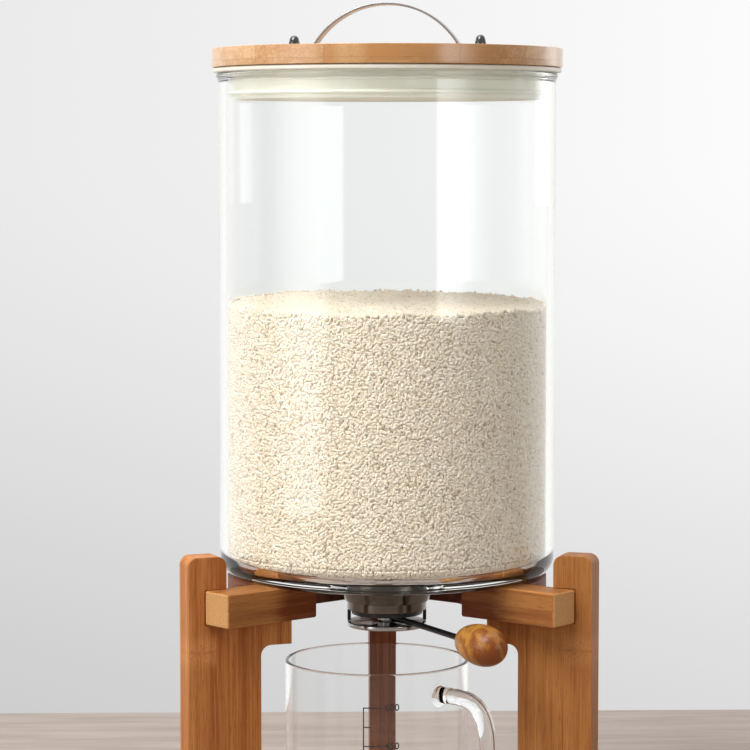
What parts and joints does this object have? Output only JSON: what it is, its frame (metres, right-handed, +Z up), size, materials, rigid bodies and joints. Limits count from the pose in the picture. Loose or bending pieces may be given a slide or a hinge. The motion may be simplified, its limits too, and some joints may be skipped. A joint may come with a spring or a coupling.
{
  "type": "grain dispenser",
  "caption": "Tall glass storage jar with a wooden lid and a lever-operated outlet in its base, on a three-legged wooden stand, with a glass measuring cup below.",
  "frame": {"origin": "on the table, on the jar's vertical axis, in the flat base of the measuring cup", "axes": "+Z up along the jar; +Y towards the rear leg; -Y towards the user, where the lever and cup handle are; +X to the user's right"},
  "size_m": [0.2194, 0.2099, 0.458],
  "materials": {
    "bamboo": "satin laminated bamboo",
    "bamboo_lid": "satin laminated bamboo",
    "knob_wood": "gloss varnish",
    "dowel_wood": "bare",
    "glass": "clear polished",
    "grain": "loose grain",
    "steel": "polished stainless",
    "black_steel": "black satin",
    "screw_steel": "plated",
    "silicone": "translucent white, satin",
    "felt": "felt"
  },
  "bodies": {
    "stand": {"leg_front_left": "bamboo", "leg_front_right": "bamboo", "leg_rear": "bamboo", "rest_bar_left": "bamboo", "rest_bar_right": "bamboo", "hub_plate": "bamboo", "bracket_screw_left": "screw_steel", "bracket_screw_right": "screw_steel", "bracket_screw_rear": "screw_steel", "tab_screw_left": "screw_steel", "tab_screw_right": "screw_steel", "tab_screw_rear": "screw_steel", "dowel_left_1": "dowel_wood", "dowel_left_2": "dowel_wood", "dowel_right_1": "dowel_wood", "dowel_right_2": "dowel_wood", "foot_pad_front_left": "felt", "foot_pad_front_right": "felt", "foot_pad_rear": "felt"},
    "jar": {"glass_jar": "glass", "grain_fill": "grain", "outlet_body": "steel", "clamp_nut": "steel", "gasket_inner": "silicone", "gasket_outer": "silicone", "guard_ring": "steel", "guard_post_left": "steel", "guard_post_right": "steel", "guard_post_rear": "steel", "pivot_pin": "screw_steel", "pivot_nut": "screw_steel"},
    "shutter": {"shutter_disc": "black_steel", "lever_boss": "screw_steel", "lever_rod": "black_steel", "lever_knob": "knob_wood"},
    "lid": {"lid_disc": "bamboo_lid", "lid_plug": "bamboo_lid", "lid_seal": "silicone", "handle_strap": "steel", "handle_screw_left": "screw_steel", "handle_screw_right": "screw_steel"},
    "cup": {"measuring_cup": "glass"}
  },
  "joints": [
    {"name": "jar_lift", "type": "slide", "parent": "stand", "child": "jar", "axis": [0, 0, 1], "range_m": [0, 0.08]},
    {"name": "lid_lift", "type": "slide", "parent": "jar", "child": "lid", "axis": [0, 0, 1], "range_m": [0, 0.06]},
    {"name": "shutter_swing", "type": "hinge", "parent": "jar", "child": "shutter", "pos_m": [0, 0, 0.131], "axis": [0, 0, -1], "range_deg": [0, 60]},
    {"name": "cup_slide", "type": "slide", "parent": "stand", "child": "cup", "axis": [0, -1, 0], "range_m": [0, 0.15]}
  ]
}
